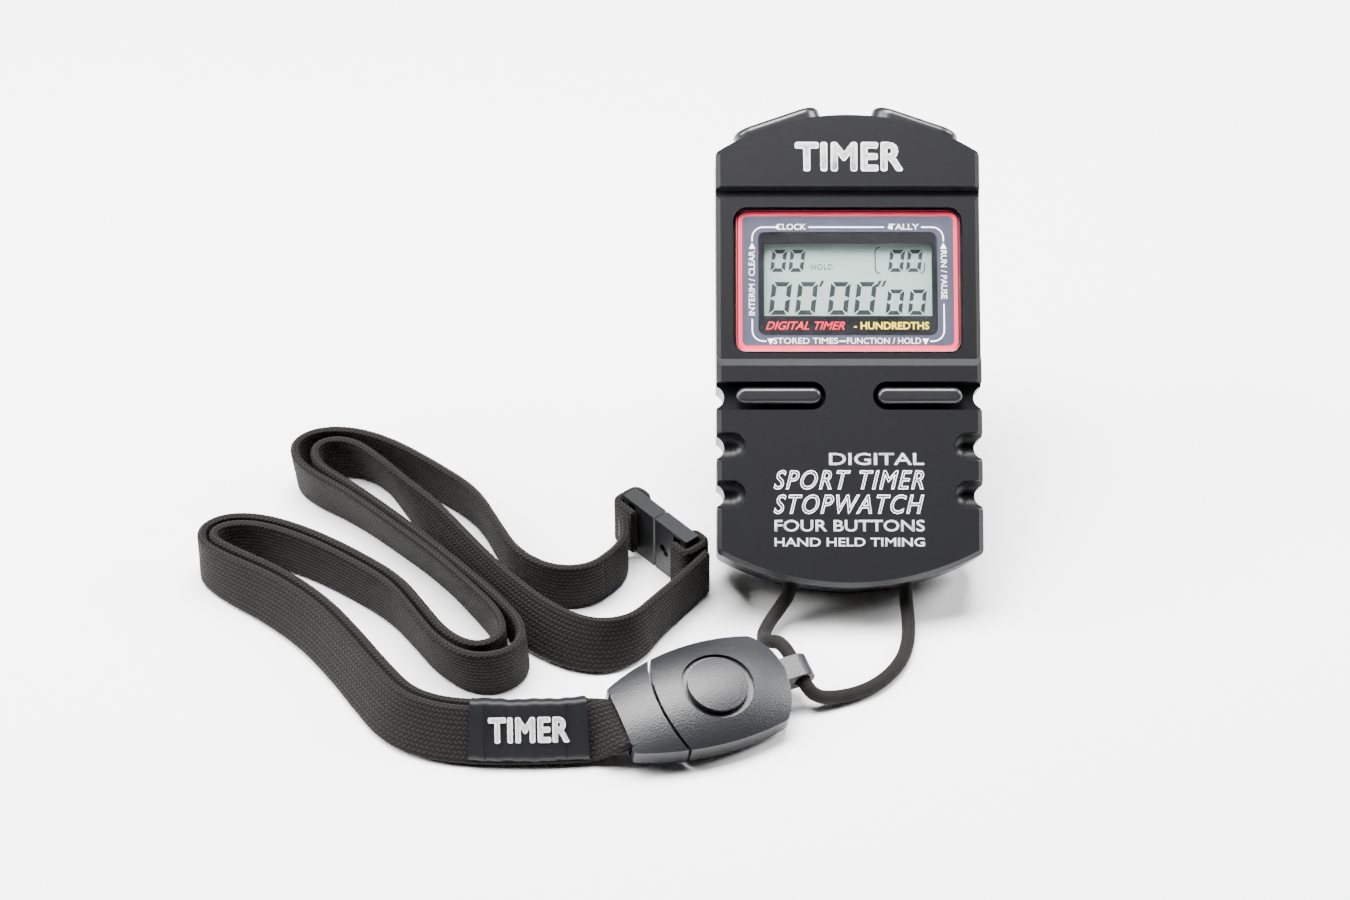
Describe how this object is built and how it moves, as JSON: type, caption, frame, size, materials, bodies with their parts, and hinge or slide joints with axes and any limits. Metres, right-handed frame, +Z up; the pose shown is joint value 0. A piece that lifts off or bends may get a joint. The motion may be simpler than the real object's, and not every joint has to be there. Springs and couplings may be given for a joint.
{
  "type": "digital stopwatch",
  "caption": "Hand-held digital stopwatch leaning back, with two top and two face push buttons, an LCD window, an elastic loop, a release buckle and a two-ply neck strap.",
  "frame": {"origin": "centre of the rear cover's flat outer face; the case leans back 47 degrees on its lower back edge, on a floor at z = -37.1 mm", "axes": "+X to the right across the case as its face is read, +Y ahead of the reader along the floor, +Z up"},
  "size_m": [0.1855, 0.1413, 0.0885],
  "materials": {
    "case_black": "fine-textured moulded ABS",
    "button_black": "fine-textured moulded plastic",
    "buckle_black": "spark-textured moulded acetal",
    "lens_clear": "clear glossy acrylic",
    "display_print": "printed film, blue-grey field with a red border",
    "lcd_glass": "grey-green reflective LCD glass",
    "holder_black": "plain moulded black",
    "rubber_black": "soft moulded rubber",
    "zebra_rubber": "layered conductive rubber",
    "steel": "bright zinc plate",
    "spring_steel": "bright spring wire",
    "board_green": "solder-masked laminate",
    "epoxy_black": "glob-top epoxy",
    "ceramic_tan": "sintered",
    "brass": "rolled brass",
    "cord_fabric": "braided polyester sheath over rubber",
    "strap_fabric": "tubular braided polyester",
    "label_fabric": "black satin ribbon"
  },
  "bodies": {
    "case": {"battery_cell": "steel", "battery_contacts": "spring_steel", "board_screws": "steel", "buckle_base": "buckle_black", "buckle_body": "buckle_black", "buzzer_disc": "brass", "capacitors": "ceramic_tan", "case_gasket": "rubber_black", "case_screws": "steel", "chip_cover": "epoxy_black", "circuit_board": "board_green", "cord_crimps": "steel", "display_mask": "display_print", "elastic_cord": "cord_fabric", "face_switches": "holder_black", "front_case": "case_black", "lap_reset_seal": "rubber_black", "lap_reset_spring": "spring_steel", "lcd_holder": "holder_black", "lcd_panel": "lcd_glass", "lens": "lens_clear", "lens_gasket": "rubber_black", "mode_spring": "spring_steel", "quartz_crystal": "steel", "rear_cover": "case_black", "recall_spring": "spring_steel", "release_spring": "spring_steel", "start_stop_seal": "rubber_black", "start_stop_spring": "spring_steel", "top_switches": "holder_black", "zebra_strips": "zebra_rubber"},
    "start_stop": {"start_stop_button": "button_black", "start_stop_clip": "steel"},
    "lap_reset": {"lap_reset_button": "button_black", "lap_reset_clip": "steel"},
    "recall": {"recall_button": "button_black", "recall_clip": "steel"},
    "mode": {"mode_button": "button_black", "mode_clip": "steel"},
    "release": {"release_button": "buckle_black"},
    "strap_side": {"buckle_strap_half": "buckle_black", "strap_sewn_end": "strap_fabric", "strap_label": "label_fabric", "strap_outer_ply": "strap_fabric", "strap_inner_ply": "strap_fabric", "strap_fold_socket": "strap_fabric", "breakaway_socket": "buckle_black"},
    "plug_side": {"breakaway_plug": "buckle_black", "strap_fold_plug": "strap_fabric", "strap_outer_ply_end": "strap_fabric"}
  },
  "joints": [
    {"name": "start_stop_press", "type": "slide", "parent": "case", "child": "start_stop", "axis": [-0.3256, -0.6915, -0.6448], "range_m": [0, 0.0012], "stiffness_N_per_m": 1500, "springref_m": -0.0008, "deforming": ["start_stop_spring"]},
    {"name": "lap_reset_press", "type": "slide", "parent": "case", "child": "lap_reset", "axis": [0.3256, -0.6915, -0.6448], "range_m": [0, 0.0012], "stiffness_N_per_m": 1500, "springref_m": -0.0008, "deforming": ["lap_reset_spring"]},
    {"name": "recall_press", "type": "slide", "parent": "case", "child": "recall", "axis": [0, 0.682, -0.7314], "range_m": [0, 0.0008], "stiffness_N_per_m": 1500, "springref_m": -0.0006, "deforming": ["recall_spring"]},
    {"name": "mode_press", "type": "slide", "parent": "case", "child": "mode", "axis": [0, 0.682, -0.7314], "range_m": [0, 0.0008], "stiffness_N_per_m": 1500, "springref_m": -0.0006, "deforming": ["mode_spring"]},
    {"name": "release_press", "type": "slide", "parent": "case", "child": "release", "axis": [-0.1011, 0.2382, -0.9659], "range_m": [0, 0.00085], "stiffness_N_per_m": 1500, "springref_m": -0.0008, "deforming": ["release_spring"]},
    {"name": "buckle_pull", "type": "slide", "parent": "case", "child": "strap_side", "axis": [-0.9205, -0.3907, 0], "range_m": [0, 0.012]},
    {"name": "breakaway_pull", "type": "slide", "parent": "strap_side", "child": "plug_side", "axis": [-0.6601, 0.7511, 0], "range_m": [0, 0.006]}
  ]
}
